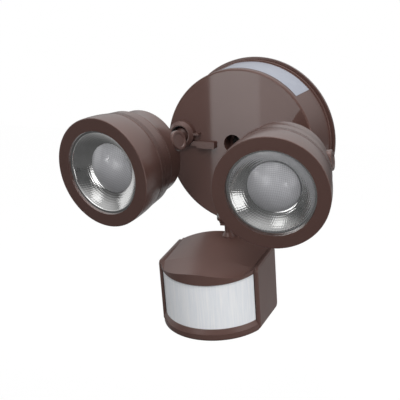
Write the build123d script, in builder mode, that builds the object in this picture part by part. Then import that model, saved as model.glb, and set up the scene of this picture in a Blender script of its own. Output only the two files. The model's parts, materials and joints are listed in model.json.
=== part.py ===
from build123d import *
from math import asin, cos, radians, sin, sqrt
import os

# Twin-head motion sensor security light.  The wall is the plane Y = 0, the light
# stands out from it along -Y and +Z is up.  Origin: centre of the mounting plate's
# back.  Lengths are in millimetres.

# ---- clearances -------------------------------------------------------------
run_fit = 0.05          # pin in its eye, on the radius
ball_gap = 0.3          # ball in its seat
turn_gap = 0.35         # turning ring round its bush and above the cover
slot_gap = 0.3          # hinge tongue between its cheeks
trim_gap = 0.25         # trim set into its opening

# ---- wall mounting plate ----------------------------------------------------
plate_r = 80.7
plate_t = 3.0
plate_window_r = 20.0
box_screw_spacing = 88.9
box_slot_w = 5.0
box_slot_len = 14.0
round_hole_at = 50.0    # extra round screw holes, from the plate's centre
nut_boss_r = 6.0
nut_boss_len = 17.0

# ---- gasket -----------------------------------------------------------------
gasket_t = 1.5
gasket_r = 76.8
gasket_w = 5.0

# ---- canopy cover -----------------------------------------------------------
cover_depth = 50.9      # wall to front face
cover_front_r = 75.0
cover_back_r = 77.2
cover_lip_r = 78.4
cover_lip_t = 3.4
cover_wall = 2.5
cover_edge = 1.8
cup_x = -6.4            # recess for the fixing screw
cup_z = 2.8
cup_r = 9.0
cup_depth = 15.0
cup_wall = 2.0
screw_r = 2.4
screw_head_r = 5.2
screw_head_t = 3.2
screw_cross_w = 1.4
screw_cross_len = 6.0
rib_count = 4
rib_t = 1.8
rib_len = 24.0
rib_h = 9.0

# ---- ball joints on the cover ----------------------------------------------
lamp_ball_x = 58.0
lamp_ball_z = 10.4
sensor_ball_x = 1.5
sensor_ball_z = -52.0
ball_sink = -1.4        # ball centre behind the cover's face
ball_r = 9.0
seat_top = 5.6
bush_wall = 1.3
bush_top = 8.6
bush_mouth_r = 8.2
bush_back = 6.0
bush_flange_r = 13.5
bush_flange_t = 2.6
collar_r = 13.2
collar_top = 11.0
collar_lip_t = 1.8
collar_lip_r = 9.1
collar_chamfer = 3.0
lever_start = 17.0      # locking lever, measured from the collar's axis
lever_end = 36.0
lever_drop = 8.6
lever_h = 6.8
lever_lift = 1.2
lever_depth = 7.6
lever_edge = 1.1
web_h = 4.6
web_depth = 4.2
blade_start = 12.0
blade_end = 18.6
blade_h = 2.0
blade_depth = 6.4

# ---- lamp heads -------------------------------------------------------------
head_reach = 125.35     # ball centre to bezel front
bezel_r = 50.8
bezel_mid_r = 50.0
bezel_back_r = 47.9
bezel_len = 26.0
bezel_face_t = 3.2
bezel_wall = 3.0
bezel_edge = 0.7
opening_r = 39.0
sleeve_t = 1.8
sleeve_len = 9.0
groove = 1.0            # shadow groove between the three tiers
groove_deep = 1.6
middle_r = 47.5
middle_back_r = 45.3
middle_len = 16.6
middle_floor = 5.0
middle_edge = 0.9
fin_ring_h = 0.45
fin_ring_count = 4
fin_ring_pitch = 1.5
rear_r = 44.5
rear_waist_r = 41.8
rear_back_r = 40.3
rear_len = 21.4
rear_wall = 3.2
rear_edge = 2.6
glass_t = 2.4
glass_sink = 0.5
reflector_rim_r = 36.8
reflector_rim_t = 1.0
reflector_t = 1.1
reflector_neck_r = 23.8
reflector_depth = 15.0
reflector_belly = 3.4
dome_r = 22.9
dome_rise = 8.5
dome_sink = 14.2
dome_t = 1.6
dome_skirt = 5.0
board_r = 22.6
board_t = 1.6
chip_w = 14.0
chip_t = 0.9
pedestal_r = 22.6

# ---- tilt hinge at the rear of each lamp head -------------------------------
barrel_r = 9.0
barrel_half = 37.0
tip_r = 9.5
tip_len = 6.0
tip_edge = 1.4
tip_dish_r = 6.6
tip_dish = 0.6
tongue_t = 12.0
eye_r = 8.5
hinge_pin_r = 3.0
hinge_block_w = 24.0
hinge_block_h = 32.0
hinge_block_len = 13.0
slot_half_h = 11.6
neck_r = 4.2
neck_len = 15.0
stem_r = 6.4
stem_taper = 12.0
tilt_room = 1.0

# ---- where the two heads point ---------------------------------------------
left_front = (-83.1, -171.4, -4.9)
left_roll = 20.0
right_front = (77.1, -171.4, -11.6)
right_roll = 6.4

# ---- sensor -----------------------------------------------------------------
sensor_at = (0.67, -133.94, -95.67)   # top of the side walls, front edge, centre
sensor_turn = 3.6
sensor_nod = 6.6
shell_half_w = 48.2
shell_depth = 55.4
shell_wall = 3.4
shell_front_low = 56.7
shell_back_low = 60.2
shell_rise = 3.2
shell_round = 2.0
shell_nose = 4.0
shell_heel = 5.0
shell_floor = 3.0
lens_r = 48.1
lens_half_w = 44.0
lens_top = 3.9           # hood's lip below the cheeks' tops, at the nose
lip_rise = 5.6           # slope of the lip towards the back, in degrees
lens_low = 47.5
lens_t = 1.2
roof_half_w = 44.6
vault_back_w = 43.4      # half widths of the vault at the back, the cheeks' fronts and the nose
vault_mid_w = 42.4
vault_front_w = 31.0
vault_sink = 2.0         # the vault's foot at the nose, below the cheeks' tops
roof_mid_y = 2.0
roof_back_h = 13.7
roof_front_h = 6.3
roof_spring = 2.4
roof_t = 2.6
hood_over = 1.3
ledge_out = 2.0
ledge_h = 4.6
band_out = 2.6
band_h = 4.2
band_round = 2.2
base_floor = 2.4
pir_board_y = 20.0
pir_board_w = 56.0
pir_board_h = 34.0
pyro_r = 4.6
pyro_len = 4.2
dial_r = 6.0
dial_t = 3.0
dial_stem_r = 2.0
dial_spacing = 30.0
dial_y = 30.0
dial_slot_w = 1.2
dial_teeth = 12

# ---- sensor hinge -----------------------------------------------------------
sensor_hinge_at = (3.5, -90.0, -58.5)
fork_t = 3.5
sensor_tongue_t = 6.0
sensor_eye_r = 6.6
sensor_pin_r = 2.4
sensor_stem_r = 5.0
post_r = 3.6
post_foot_r = 6.2
post_foot_h = 4.0

# ---- driver inside the canopy ----------------------------------------------
driver_w = 74.0
driver_h = 30.0
driver_t = 20.0
driver_z = 42.0

os.makedirs("parts", exist_ok=True)


def save(piece, name):
    """Label the finished piece and write it."""
    piece.part.label = name
    export_step(piece.part, f"parts/{name}.step")


def axial(frame):
    """Profile plane of a turned piece: x is the radius, y runs along the frame's z."""
    return Plane(origin=frame.origin, x_dir=frame.x_dir, z_dir=-frame.y_dir)


def spin(frame):
    """Axis of a turned piece."""
    return Axis(frame.origin, frame.z_dir)


def aimed(ball, front, roll):
    """Frame at a ball's centre whose z points at a far point, rolled about that z."""
    way = (Vector(*front) - Vector(*ball)).normalized()
    side = Vector(0, 0, 1).cross(way).normalized()
    over = way.cross(side)
    return Plane(
        origin=ball, x_dir=side * cos(radians(roll)) + over * sin(radians(roll)), z_dir=way
    )


wall = Plane(origin=(0, 0, 0), x_dir=(1, 0, 0), z_dir=(0, -1, 0))
ball_y = cover_depth + ball_sink
lamp_ball_left = (-lamp_ball_x, -ball_y, lamp_ball_z)
lamp_ball_right = (lamp_ball_x, -ball_y, lamp_ball_z)
sensor_ball = (sensor_ball_x, -ball_y, sensor_ball_z)


# ============================ canopy ==========================================
with BuildPart() as mounting_plate:
    with BuildSketch(wall):
        Circle(plate_r)
        Circle(plate_window_r, mode=Mode.SUBTRACT)
        with Locations((-box_screw_spacing / 2, 0), (box_screw_spacing / 2, 0)):
            SlotOverall(box_slot_len, box_slot_w, mode=Mode.SUBTRACT)
        with PolarLocations(round_hole_at, 4, start_angle=45):
            Circle(box_slot_w / 2, mode=Mode.SUBTRACT)
    extrude(amount=plate_t)
    # bridge over the wire window that carries the tapped boss
    with BuildSketch(wall):
        with Locations((cup_x, cup_z)):
            Rectangle(2 * nut_boss_r, 2 * plate_window_r + 8)
    extrude(amount=plate_t)
    with BuildSketch(wall.offset(plate_t)):
        with Locations((cup_x, cup_z)):
            Circle(nut_boss_r)
    extrude(amount=nut_boss_len)
    with BuildSketch(wall):
        with Locations((cup_x, cup_z)):
            Circle(screw_r)
    extrude(amount=plate_t + nut_boss_len, mode=Mode.SUBTRACT)
save(mounting_plate, "mounting_plate")

with BuildPart() as canopy_gasket:
    with BuildSketch(wall.offset(plate_t)):
        Circle(gasket_r)
        Circle(gasket_r - gasket_w, mode=Mode.SUBTRACT)
    extrude(amount=gasket_t)
save(canopy_gasket, "canopy_gasket")

cover_back = plate_t + gasket_t
with BuildPart() as canopy_cover:
    with BuildSketch(axial(wall)) as cover_profile:
        with BuildLine():
            Polyline(
                (0, cover_depth),
                (cover_front_r, cover_depth),
                (cover_back_r, cover_back + cover_lip_t),
                (cover_lip_r, cover_back + cover_lip_t),
                (cover_lip_r, cover_back),
                (cover_back_r - cover_wall - 2, cover_back),
                (cover_front_r - cover_wall, cover_depth - cover_wall),
                (0, cover_depth - cover_wall),
                close=True,
            )
        make_face()
        fillet(cover_profile.vertices().group_by(Axis.Y)[-1].sort_by(Axis.X)[-1], cover_edge)
        fillet(cover_profile.vertices().sort_by(Axis.X)[-2:], 0.6)
    revolve(axis=spin(wall))
    # stiffening ribs inside the rim
    with BuildSketch(wall.offset(cover_depth - cover_wall - rib_h)):
        with PolarLocations(cover_front_r - cover_wall / 2 - rib_len / 2, rib_count, 45):
            Rectangle(rib_len, rib_t)
    extrude(amount=rib_h + cover_wall / 2)
    # blind recess that takes the fixing screw's head
    with BuildSketch(wall.offset(cover_depth - cup_depth - cup_wall)):
        with Locations((cup_x, cup_z)):
            Circle(cup_r + cup_wall)
    extrude(amount=cup_depth + cup_wall)
    with BuildSketch(wall.offset(cover_depth - cup_depth)):
        with Locations((cup_x, cup_z)):
            Circle(cup_r)
    extrude(amount=cup_depth, mode=Mode.SUBTRACT)
    with BuildSketch(wall.offset(cover_depth - cup_depth - cup_wall)):
        with Locations((cup_x, cup_z)):
            Circle(screw_r + run_fit)
    extrude(amount=cup_wall, mode=Mode.SUBTRACT)
    # holes for the three ball bushes
    bush_r = ball_r + ball_gap + bush_wall
    with BuildSketch(wall.offset(cover_depth - cover_wall - rib_h)):
        with Locations(
            (-lamp_ball_x, lamp_ball_z), (lamp_ball_x, lamp_ball_z), (sensor_ball_x, sensor_ball_z)
        ):
            Circle(bush_r)
    extrude(amount=rib_h + 2 * cover_wall, mode=Mode.SUBTRACT)
save(canopy_cover, "canopy_cover")

with BuildPart() as fixing_screw:
    with BuildSketch(wall.offset(plate_t)):
        with Locations((cup_x, cup_z)):
            Circle(screw_r)
    extrude(amount=cover_depth - cup_depth - plate_t)
    with BuildSketch(wall.offset(cover_depth - cup_depth)):
        with Locations((cup_x, cup_z)):
            Circle(screw_head_r)
    extrude(amount=screw_head_t)
    fillet(fixing_screw.edges().filter_by(GeomType.CIRCLE).group_by(Axis.Y)[0], screw_head_t / 2)
    with BuildSketch(wall.offset(cover_depth - cup_depth + screw_head_t / 2)):
        with Locations((cup_x, cup_z)):
            Rectangle(screw_cross_len, screw_cross_w)
            Rectangle(screw_cross_w, screw_cross_len)
    extrude(amount=screw_head_t, mode=Mode.SUBTRACT)
save(fixing_screw, "fixing_screw")

with BuildPart() as driver_box:
    with BuildSketch(wall.offset(cover_depth - cover_wall - rib_h - driver_t)):
        with Locations((0, driver_z)):
            RectangleRounded(driver_w, driver_h, 4)
    extrude(amount=driver_t)
save(driver_box, "driver_box")


# ============================ ball joints =====================================
def ball_bush(frame, name):
    """Fixed bush with a spherical seat and a flared mouth, clamped in the cover."""
    seat_r = ball_r + ball_gap
    floor_r = sqrt(seat_r**2 - bush_back**2)
    throat_r = sqrt(seat_r**2 - seat_top**2)
    face = -ball_sink
    with BuildPart() as bush:
        with BuildSketch(axial(frame)):
            with BuildLine():
                ThreePointArc((floor_r, -bush_back), (seat_r, 0), (throat_r, seat_top))
                Polyline(
                    (throat_r, seat_top),
                    (bush_mouth_r, bush_top),
                    (seat_r + bush_wall, bush_top),
                    (seat_r + bush_wall, face - cover_wall),
                    (bush_flange_r, face - cover_wall),
                    (bush_flange_r, face - cover_wall - bush_flange_t),
                    (seat_r + bush_wall, face - cover_wall - bush_flange_t),
                    (seat_r + bush_wall, -bush_back),
                    (floor_r, -bush_back),
                )
            make_face()
        revolve(axis=spin(frame))
    save(bush, name)


def lock_collar(frame, name, side):
    """Chamfered ring that screws down on the ball; side is +1 or -1 where it has a lever."""
    inner = ball_r + ball_gap + bush_wall + turn_gap
    foot = -ball_sink + turn_gap
    with BuildPart() as collar:
        with BuildSketch(axial(frame)):
            with BuildLine():
                Polyline(
                    (inner, foot),
                    (collar_r, foot),
                    (collar_r, collar_top - collar_chamfer),
                    (collar_r - collar_chamfer, collar_top),
                    (collar_lip_r, collar_top),
                    (collar_lip_r, collar_top - collar_lip_t),
                    (inner, collar_top - collar_lip_t),
                    close=True,
                )
            make_face()
        revolve(axis=spin(frame))
        if side:
            root = sqrt(inner**2 - (lever_drop - web_h / 2) ** 2) + turn_gap
            web_len = lever_start + 1 - root
            with BuildSketch(frame.offset(foot)):
                with Locations((side * (root + web_len / 2), -lever_drop)):
                    Rectangle(web_len, web_h)
            extrude(amount=web_depth)
            with BuildSketch(frame.offset(-ball_sink + lever_lift)):
                with Locations((side * (lever_start + lever_end) / 2, -lever_drop)):
                    RectangleRounded(lever_end - lever_start, lever_h, lever_edge)
            extrude(amount=lever_depth)
            with BuildSketch(frame.offset(foot)):
                with Locations((side * (blade_start + blade_end) / 2, blade_h / 2)):
                    Rectangle(blade_end - blade_start, blade_h)
            extrude(amount=blade_depth)
    save(collar, name)


def ball_arm(frame, name, reach, thick, eye, bore, stem):
    """Ball, waisted stem and flat eye: the eye's hole runs along the frame's x."""
    across = Plane(origin=frame.origin, x_dir=frame.z_dir, z_dir=frame.x_dir)
    stem_end = reach - eye - tilt_room
    with BuildPart() as arm:
        with BuildSketch(axial(frame)):
            with BuildLine():
                leave = sqrt(ball_r**2 - neck_r**2)
                ThreePointArc((0, -ball_r), (ball_r, 0), (neck_r, leave))
                Polyline(
                    (neck_r, leave),
                    (neck_r, neck_len),
                    (stem, neck_len + stem_taper),
                    (stem, stem_end),
                    (0, stem_end),
                    (0, -ball_r),
                )
            make_face()
        revolve(axis=spin(frame))
        with BuildSketch(across.offset(-thick / 2)):
            with Locations((reach, 0)):
                Circle(eye)
            with Locations(((reach + stem_end) / 2 - 1, 0)):
                Rectangle(reach - stem_end + 2, 2 * min(stem, eye) - 1.5)
        extrude(amount=thick)
        with BuildSketch(across.offset(-thick / 2 - 1)):
            with Locations((reach, 0)):
                Circle(bore)
        extrude(amount=thick + 2, mode=Mode.SUBTRACT)
    save(arm, name)


def socket_frame(ball):
    """Frame of a bush: z straight out of the wall."""
    return Plane(origin=ball, x_dir=(1, 0, 0), z_dir=(0, -1, 0))


ball_bush(socket_frame(lamp_ball_left), "ball_bush_left")
ball_bush(socket_frame(lamp_ball_right), "ball_bush_right")
ball_bush(socket_frame(sensor_ball), "ball_bush_sensor")
lock_collar(socket_frame(lamp_ball_left), "lock_collar_left", 1)
lock_collar(socket_frame(lamp_ball_right), "lock_collar_right", -1)
lock_collar(socket_frame(sensor_ball), "lock_collar_sensor", 0)


# ============================ lamp heads ======================================
def lamp_head(frame, side):
    """All pieces of one head, measured from its ball's centre along the frame's z."""
    front = head_reach
    middle_front = front - bezel_len - groove
    middle_back = middle_front - middle_len
    rear_front = middle_back - groove
    hinge = rear_front - rear_len
    across = Plane(origin=frame.origin, x_dir=frame.z_dir, z_dir=frame.x_dir)
    glass_top = front - glass_sink
    rim_top = glass_top - glass_t
    sleeve_r = opening_r + sleeve_t
    dome_rim = front - dome_sink
    board_top = dome_rim - dome_skirt

    # front tier: flat annular face, outer wall, and the sleeve round the optics
    with BuildPart() as bezel:
        with BuildSketch(axial(frame)) as profile:
            with BuildLine():
                ThreePointArc(
                    (bezel_r, front), (bezel_mid_r, front - bezel_len / 2), (bezel_back_r, front - bezel_len)
                )
                Polyline(
                    (bezel_back_r, front - bezel_len),
                    (bezel_back_r - bezel_wall, front - bezel_len),
                    (bezel_r - bezel_wall - 1.2, front - bezel_face_t),
                    (sleeve_r, front - bezel_face_t),
                    (sleeve_r, front - sleeve_len),
                    (opening_r, front - sleeve_len),
                    (opening_r, front),
                    (bezel_r, front),
                )
            make_face()
            fillet(profile.vertices().group_by(Axis.Y)[-1].sort_by(Axis.X)[-1], bezel_edge)
        revolve(axis=spin(frame))
    save(bezel, f"bezel_{side}")

    with BuildPart() as glass:
        with BuildSketch(frame.offset(rim_top)):
            Circle(opening_r - trim_gap)
        extrude(amount=glass_t)
    save(glass, f"lens_glass_{side}")

    # polished bowl: flat rim under the glass, curved wall, open neck round the dome
    rim_low = rim_top - reflector_rim_t
    neck_z = front - reflector_depth
    bowl_r = (reflector_rim_r + reflector_neck_r) / 2
    bowl_z = (rim_low + neck_z) / 2 - reflector_belly
    with BuildPart() as reflector:
        with BuildSketch(axial(frame)):
            with BuildLine():
                ThreePointArc((reflector_neck_r, neck_z), (bowl_r, bowl_z), (reflector_rim_r, rim_low))
                Polyline(
                    (reflector_rim_r, rim_low),
                    (reflector_rim_r, rim_top),
                    (opening_r - trim_gap, rim_top),
                    (opening_r - trim_gap, rim_low),
                    (reflector_rim_r + reflector_t, rim_low),
                )
                ThreePointArc(
                    (reflector_rim_r + reflector_t, rim_low),
                    (bowl_r + reflector_t * 0.5, bowl_z - reflector_t),
                    (reflector_neck_r, neck_z - reflector_t),
                )
                Line((reflector_neck_r, neck_z - reflector_t), (reflector_neck_r, neck_z))
            make_face()
        revolve(axis=spin(frame))
    save(reflector, f"reflector_{side}")

    with BuildPart() as dome:
        with BuildSketch(axial(frame)):
            with BuildLine():
                ball = (dome_r**2 + dome_rise**2) / (2 * dome_rise)
                mid = asin(dome_r / ball) / 2
                ThreePointArc(
                    (dome_r, dome_rim),
                    (ball * sin(mid), dome_rim + dome_rise - ball * (1 - cos(mid))),
                    (0, dome_rim + dome_rise),
                )
                inner = ball - dome_t
                mid_in = asin((dome_r - dome_t) / inner) / 2
                low = dome_rim + dome_rise - ball + sqrt(inner**2 - (dome_r - dome_t) ** 2)
                Line((0, dome_rim + dome_rise), (0, dome_rim + dome_rise - dome_t))
                ThreePointArc(
                    (0, dome_rim + dome_rise - dome_t),
                    (inner * sin(mid_in), dome_rim + dome_rise - ball + inner * cos(mid_in)),
                    (dome_r - dome_t, low),
                )
                Polyline(
                    (dome_r - dome_t, low), (dome_r - dome_t, board_top), (dome_r, board_top), (dome_r, dome_rim)
                )
            make_face()
        revolve(axis=spin(frame))
    save(dome, f"diffuser_dome_{side}")

    with BuildPart() as board:
        with BuildSketch(frame.offset(board_top - board_t)):
            Circle(board_r)
        extrude(amount=board_t)
        with BuildSketch(frame.offset(board_top)):
            Rectangle(chip_w, chip_w)
        extrude(amount=chip_t)
    save(board, f"led_board_{side}")

    # middle tier: heat sink cup with a pedestal for the board and fine turned rings
    with BuildPart() as middle:
        with BuildSketch(axial(frame)) as profile:
            with BuildLine():
                Polyline(
                    (0, board_top - board_t),
                    (pedestal_r, board_top - board_t),
                    (pedestal_r, middle_front),
                    (bezel_back_r - bezel_wall, middle_front),
                    (bezel_back_r - bezel_wall, middle_front + groove),
                    (middle_r - groove_deep, middle_front + groove),
                    (middle_r - groove_deep, middle_front),
                    (middle_r, middle_front),
                    (middle_back_r, middle_back),
                    (middle_back_r - groove_deep, middle_back),
                    (middle_back_r - groove_deep, middle_back - groove),
                    (middle_back_r - groove_deep - bezel_wall, middle_back - groove),
                    (middle_back_r - groove_deep - bezel_wall, middle_front - middle_floor),
                    (0, middle_front - middle_floor),
                    close=True,
                )
            make_face()
            fillet(profile.vertices().sort_by(Axis.X)[-1], middle_edge)
            fillet(profile.vertices().group_by(Axis.Y)[1].sort_by(Axis.X)[-1], middle_edge)
        revolve(axis=spin(frame))
        for ring in range(fin_ring_count):
            height = middle_front - groove - fin_ring_pitch * (ring + 0.5)
            with BuildSketch(frame.offset(height)):
                Circle(middle_r + 1)
                Circle(middle_r - fin_ring_h - 0.13 * fin_ring_pitch * (ring + 1), mode=Mode.SUBTRACT)
            extrude(amount=fin_ring_h, mode=Mode.SUBTRACT)
    save(middle, f"heat_sink_{side}")

    # rear tier: tapering cap, with the tilt hinge's barrel across its back
    with BuildPart() as rear:
        with BuildSketch(axial(frame)) as profile:
            with BuildLine():
                ThreePointArc(
                    (rear_r, rear_front), (rear_waist_r, rear_front - rear_len * 0.45), (rear_back_r, hinge)
                )
                Polyline(
                    (rear_back_r, hinge),
                    (0, hinge),
                    (0, hinge + rear_wall),
                    (rear_back_r - rear_wall, hinge + rear_wall),
                    (rear_r - rear_wall, rear_front),
                    (rear_r, rear_front),
                )
            make_face()
            fillet(profile.vertices().group_by(Axis.Y)[0].sort_by(Axis.X)[-1], rear_edge)
            fillet(profile.vertices().sort_by(Axis.X)[-1], groove)
        revolve(axis=spin(frame))
        with BuildSketch(frame.offset(hinge)):
            RectangleRounded(hinge_block_w, hinge_block_h, 3)
        extrude(amount=hinge_block_len)
        with BuildSketch(across.offset(-barrel_half)):
            with Locations((hinge, 0)):
                Circle(barrel_r)
        extrude(amount=2 * barrel_half)
        with BuildSketch(frame.offset(hinge - 2 * barrel_r)):
            Rectangle(tongue_t + 2 * slot_gap, 2 * slot_half_h)
        extrude(amount=2 * barrel_r + eye_r + 1.5, mode=Mode.SUBTRACT)
        with BuildSketch(across.offset(-barrel_half)):
            with Locations((hinge, 0)):
                Circle(hinge_pin_r)
        extrude(amount=2 * barrel_half, mode=Mode.SUBTRACT)
        for start in (barrel_half, -barrel_half - 2 * tip_len):
            with BuildSketch(across.offset(start)):
                with Locations((hinge, 0)):
                    Circle(tip_r)
            extrude(amount=2 * tip_len, mode=Mode.SUBTRACT)
    save(rear, f"rear_cap_{side}")

    with BuildPart() as pin:
        with BuildSketch(across.offset(-barrel_half)):
            with Locations((hinge, 0)):
                Circle(hinge_pin_r)
        extrude(amount=2 * barrel_half)
    save(pin, f"hinge_pin_{side}")

    # round tips that close both ends of the barrel and carry the pin
    for hand, word in ((1, "right"), (-1, "left")):
        tip_plane = Plane(
            origin=frame.from_local_coords((hand * barrel_half, 0, hinge)),
            x_dir=frame.z_dir,
            z_dir=frame.x_dir * hand,
        )
        with BuildPart() as tip:
            with BuildSketch(axial(tip_plane)) as profile:
                with BuildLine():
                    Polyline(
                        (0, 0),
                        (tip_r, 0),
                        (tip_r, tip_len),
                        (tip_dish_r, tip_len),
                        (tip_dish_r - tip_dish, tip_len - tip_dish),
                        (0, tip_len - tip_dish),
                        close=True,
                    )
                make_face()
                fillet(profile.vertices().group_by(Axis.Y)[-1].sort_by(Axis.X)[-1], tip_edge)
            revolve(axis=spin(tip_plane))
        save(tip, f"hinge_tip_{word}_{side}")

    ball_arm(frame, f"ball_arm_{side}", hinge, tongue_t, eye_r, hinge_pin_r + run_fit, stem_r)


lamp_head(aimed(lamp_ball_left, left_front, left_roll), "left")
lamp_head(aimed(lamp_ball_right, right_front, right_roll), "right")


# ============================ sensor ==========================================
turn = radians(sensor_turn)
nod = radians(sensor_nod)
sensor_right = Vector(cos(turn), sin(turn), 0)
sensor_back = Vector(-sin(turn) * cos(nod), cos(turn) * cos(nod), sin(nod))
sensor_up = sensor_right.cross(sensor_back)
head_plan = Plane(origin=sensor_at, x_dir=sensor_right, z_dir=sensor_up)
head_side = Plane(origin=sensor_at, x_dir=sensor_back, z_dir=sensor_right)
head_front = Plane(origin=sensor_at, x_dir=sensor_right, z_dir=-sensor_back)
lens_centre = sqrt(lens_r**2 - lens_half_w**2)
lens_frame = Plane(origin=head_plan.from_local_coords((0, lens_centre, 0)), x_dir=sensor_right, z_dir=sensor_up)

# rear shell: two side cheeks, back and floor in one moulding, open to the front
with BuildPart() as sensor_shell:
    with BuildSketch(head_side.offset(-shell_half_w)) as cheek:
        with BuildLine():
            Polyline(
                (0, shell_rise),
                (shell_depth, shell_rise),
                (shell_depth, -shell_back_low),
                (0, -shell_front_low),
                close=True,
            )
        make_face()
        tops = cheek.vertices().group_by(Axis.Y)[-1].sort_by(Axis.X)
        fillet(tops[0], shell_nose)
        fillet(cheek.vertices().group_by(Axis.Y)[0], shell_heel)
        fillet(cheek.vertices().group_by(Axis.Y)[-1].sort_by(Axis.X)[-1], shell_heel)
    extrude(amount=2 * shell_half_w)
    with BuildSketch(head_side.offset(shell_wall - shell_half_w)):
        with BuildLine():
            Polyline(
                (-1, shell_rise + 1),
                (-1, shell_floor - shell_front_low),
                (shell_depth - shell_wall, shell_floor - shell_back_low),
                (shell_depth - shell_wall, 0),
                (shell_depth + 1, 0),
                (shell_depth + 1, shell_rise + 1),
                close=True,
            )
        make_face()
    extrude(amount=2 * (shell_half_w - shell_wall), mode=Mode.SUBTRACT)
    dial_low = shell_front_low + (shell_back_low - shell_front_low) * dial_y / shell_depth
    with BuildSketch(head_plan.offset(-shell_back_low - 1)):
        with Locations((-dial_spacing / 2, dial_y), (dial_spacing / 2, dial_y)):
            Circle(dial_stem_r + run_fit)
    extrude(amount=shell_back_low - dial_low + shell_floor + 2, mode=Mode.SUBTRACT)
    rims = sensor_shell.edges().filter_by(Axis(sensor_at, sensor_back))
    rims = rims.group_by(Axis(sensor_at, sensor_up))[-1].sort_by(Axis(sensor_at, sensor_right))
    fillet((rims[0], rims[-1]), shell_round)
save(sensor_shell, "sensor_shell")


# roof: a low vault that sinks and flattens towards the front, rounded off in plan,
# with a drip lip that follows the lens
hood_r = lens_r + hood_over
hood_nose = hood_r - lens_centre
lip_back = sensor_back * cos(radians(lip_rise)) + sensor_up * sin(radians(lip_rise))
lip_plan = Plane(
    origin=head_plan.from_local_coords((0, -hood_nose, -lens_top)),
    x_dir=sensor_right,
    z_dir=sensor_right.cross(lip_back),
)
roof_fall = (roof_back_h - roof_front_h) / (shell_depth + hood_nose)
roof_mid_h = roof_back_h - roof_fall * (shell_depth - roof_mid_y)


def vault(inset):
    """Three cross-sections of the roof, drawn smaller by an inset."""
    sections = []
    for station, crown, half_w, foot, side in (
        (-shell_depth, roof_back_h, vault_back_w, shell_rise, shell_rise),
        (-roof_mid_y, roof_mid_h, vault_mid_w, roof_spring, shell_rise),
        (hood_nose + 1, roof_front_h, vault_front_w, -vault_sink, roof_spring - hood_over),
    ):
        with BuildSketch(head_front.offset(station)) as section:
            with BuildLine():
                ThreePointArc((inset - half_w, foot - inset), (0, crown - inset), (half_w - inset, foot - inset))
                Polyline(
                    (half_w - inset, foot - inset),
                    (roof_half_w - inset, side - inset),
                    (roof_half_w - inset, -lens_top - inset),
                    (inset - roof_half_w, -lens_top - inset),
                    (inset - roof_half_w, side - inset),
                    (inset - half_w, foot - inset),
                )
            make_face()
        sections.append(section.sketch)
    return sections


# hollow of the roof, open down to the board space
with BuildPart() as roof_space:
    loft(vault(roof_t), ruled=True)
    with BuildSketch(head_plan.offset(-lens_top - roof_t)):
        with Locations((0, lens_centre)):
            Circle(lens_r - lens_t - trim_gap)
        with Locations((0, (shell_depth + lens_centre) / 2 - shell_wall - 3)):
            Rectangle(2 * roof_half_w, shell_depth - lens_centre)
    extrude(amount=roof_back_h + lens_top + roof_t, mode=Mode.INTERSECT)

with BuildPart() as sensor_hood:
    loft(vault(0), ruled=True)
    with BuildSketch(head_plan.offset(-lens_top)):
        with Locations((0, lens_centre)):
            Circle(hood_r)
        with Locations((0, shell_depth / 2 + 1)):
            Rectangle(2 * roof_half_w, shell_depth + 2)
    extrude(amount=roof_back_h + lens_top + 1, mode=Mode.INTERSECT)
    # rear of the roof sits on the shell's back, so its skirt stops at the shell's rim
    with BuildSketch(head_plan.offset(-lens_top - 1)):
        with Locations((0, shell_depth - shell_wall / 2 + 1)):
            Rectangle(2 * roof_half_w + 4, shell_wall + 2.4)
    extrude(amount=lens_top + 1, mode=Mode.SUBTRACT)
    # the lip rises from the nose towards the cheeks
    with BuildSketch(lip_plan):
        with Locations((0, hood_nose / 2)):
            Rectangle(2 * hood_r + 2, hood_nose + 2 * hood_over)
    extrude(amount=-lens_top - hood_over, mode=Mode.SUBTRACT)
    add(roof_space.part, mode=Mode.SUBTRACT)
save(sensor_hood, "sensor_hood")

with BuildPart() as motion_lens:
    with BuildSketch(lens_frame.offset(-lens_low)):
        Circle(lens_r)
        Circle(lens_r - lens_t, mode=Mode.SUBTRACT)
        with Locations((0, lens_r - lens_centre)):
            Rectangle(4 * lens_r, 2 * lens_r, mode=Mode.SUBTRACT)
    extrude(amount=lens_low)
    with BuildSketch(lip_plan):
        with Locations((0, hood_nose / 2)):
            Rectangle(2 * hood_r + 2, hood_nose + 2 * hood_over)
    extrude(amount=2 * lens_top, mode=Mode.SUBTRACT)
save(motion_lens, "motion_lens")

# base ring: sloping ledge under the lens, then a band that rounds under
ledge_low = lens_low + ledge_h
band_low = ledge_low + band_h
with BuildPart() as sensor_base:
    with BuildSketch(axial(lens_frame)) as profile:
        with BuildLine():
            Polyline(
                (lens_r - lens_t - 4, -lens_low),
                (lens_r, -lens_low),
                (lens_r + ledge_out, -ledge_low),
                (lens_r + band_out, -ledge_low),
                (lens_r + band_out, -band_low - band_round),
                (0, -band_low - band_round),
                (0, base_floor - band_low - band_round),
                (lens_r - lens_t - 4, base_floor - band_low - band_round),
                close=True,
            )
        make_face()
        fillet(profile.vertices().group_by(Axis.Y)[0].sort_by(Axis.X)[-1], band_round)
    revolve(axis=spin(lens_frame))
    with BuildSketch(head_plan.offset(-band_low - band_round - 1)):
        with Locations((0, 2 * lens_r)):
            Rectangle(6 * lens_r, 4 * lens_r)
    extrude(amount=band_low, mode=Mode.SUBTRACT)
save(sensor_base, "sensor_base")

with BuildPart() as sensor_board:
    with BuildSketch(head_front.offset(-pir_board_y)):
        with Locations((0, -(lens_top + lens_low) / 2)):
            Rectangle(pir_board_w, pir_board_h)
    extrude(amount=board_t)
save(sensor_board, "sensor_board")

with BuildPart() as pyro_element:
    with BuildSketch(head_front.offset(board_t - pir_board_y)):
        with Locations((0, -(lens_top + lens_low) / 2)):
            Circle(pyro_r)
    extrude(amount=pyro_len)
    fillet(pyro_element.edges().group_by(Axis.Y)[0], 0.6)
save(pyro_element, "pyro_element")

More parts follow.
